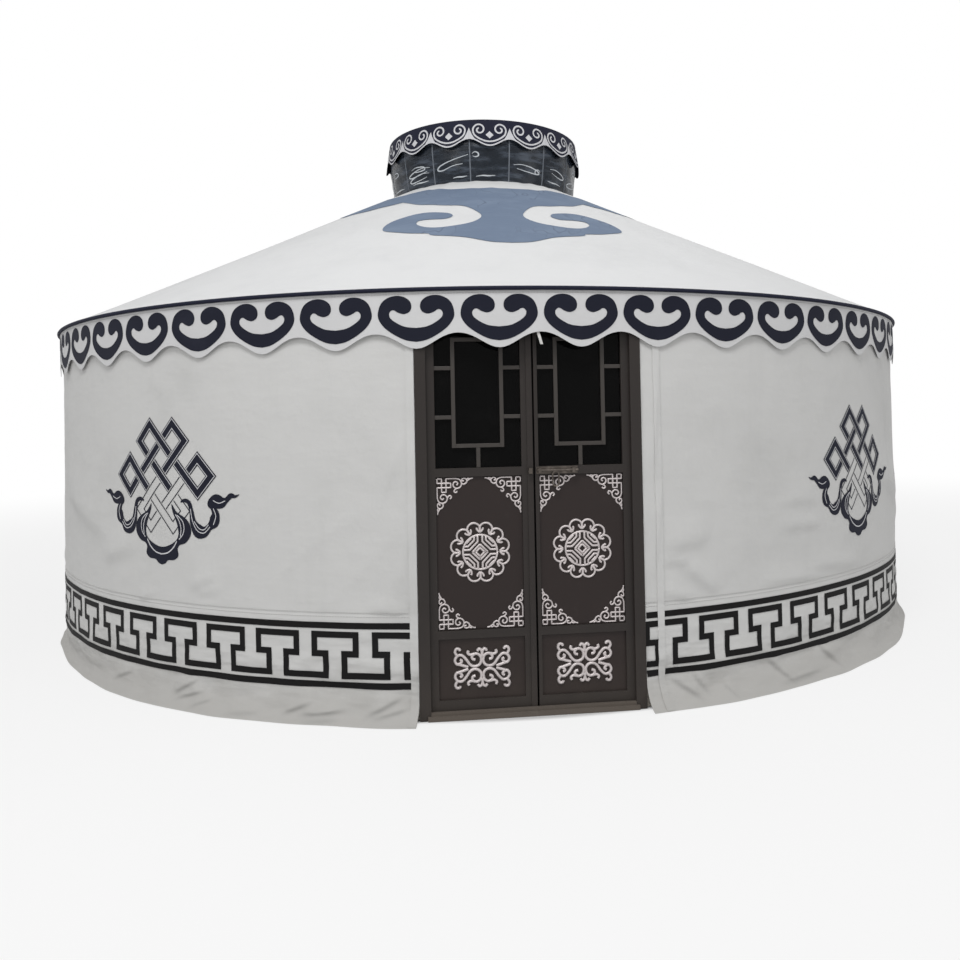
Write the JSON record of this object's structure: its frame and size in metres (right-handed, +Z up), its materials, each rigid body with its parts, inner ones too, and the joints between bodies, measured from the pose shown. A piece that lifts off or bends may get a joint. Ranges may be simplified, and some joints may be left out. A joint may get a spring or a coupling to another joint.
{
  "type": "yurt",
  "caption": "Round tent house: lattice wall and conical pole roof under white canvas, raised clear crown with a dark cap, scalloped valances, and a two-leaf inward door with a slide bolt.",
  "frame": {"origin": "on the ground, on the axis of the round wall", "axes": "+Z up, -Y out through the doorway, +X to the right as seen from outside in front of the door"},
  "size_m": [5.168, 5.1306, 3.0183],
  "materials": {
    "wall_canvas": "white canvas over felt, printed dark bands",
    "roof_canvas": "white canvas over felt, printed cloud ornament",
    "navy_cloth": "navy cloth with white borders",
    "lattice_wood": "oiled softwood laths",
    "frame_wood": "varnished softwood",
    "clear_film": "soft clear film, wrinkled",
    "door_paint": "dark brown satin paint",
    "door_panel": "dark brown satin sheet",
    "door_glass": "tinted pane",
    "sill_paint": "worn grey-brown paint",
    "bolt_steel": "bright steel"
  },
  "bodies": {
    "shell": {"wall_cover_1": "wall_canvas", "wall_cover_2": "wall_canvas", "wall_cover_3": "wall_canvas", "wall_cover_4": "wall_canvas", "roof_cover_1": "roof_canvas", "roof_cover_2": "roof_canvas", "roof_cover_3": "roof_canvas", "roof_cover_4": "roof_canvas", "eave_valance": "navy_cloth", "eave_binding": "navy_cloth", "crown_cap": "navy_cloth", "crown_valance": "navy_cloth", "lattice_1": "lattice_wood", "lattice_2": "lattice_wood", "lattice_3": "lattice_wood", "lattice_4": "lattice_wood", "lattice_5": "lattice_wood", "lattice_6": "lattice_wood", "lattice_7": "lattice_wood", "lattice_8": "lattice_wood", "lattice_9": "lattice_wood", "lattice_10": "lattice_wood", "lattice_11": "lattice_wood", "lattice_12": "lattice_wood", "eave_ring": "frame_wood", "roof_poles": "frame_wood", "crown_ring": "frame_wood", "crown_posts": "frame_wood", "crown_top_ring": "frame_wood", "crown_ribs": "frame_wood", "crown_windows": "clear_film", "door_jamb_left": "door_paint", "door_jamb_right": "door_paint", "door_head": "door_paint", "door_threshold": "sill_paint"},
    "left_leaf": {"left_leaf_frame": "door_paint", "left_leaf_panels": "door_panel", "left_leaf_glass": "door_glass", "bolt_keeper": "bolt_steel"},
    "right_leaf": {"right_leaf_frame": "door_paint", "right_leaf_panels": "door_panel", "right_leaf_glass": "door_glass", "bolt_plate": "bolt_steel"},
    "bolt": {"bolt_rod": "bolt_steel"}
  },
  "joints": [
    {"name": "left_leaf_hinge", "type": "hinge", "parent": "shell", "child": "left_leaf", "pos_m": [-0.399, -2.403, 0], "axis": [0, 0, 1], "range_deg": [0, 100]},
    {"name": "right_leaf_hinge", "type": "hinge", "parent": "shell", "child": "right_leaf", "pos_m": [0.399, -2.403, 0], "axis": [0, 0, -1], "range_deg": [0, 100]},
    {"name": "bolt_slide", "type": "slide", "parent": "right_leaf", "child": "bolt", "axis": [-1, 0, 0], "range_m": [0, 0.035]}
  ]
}
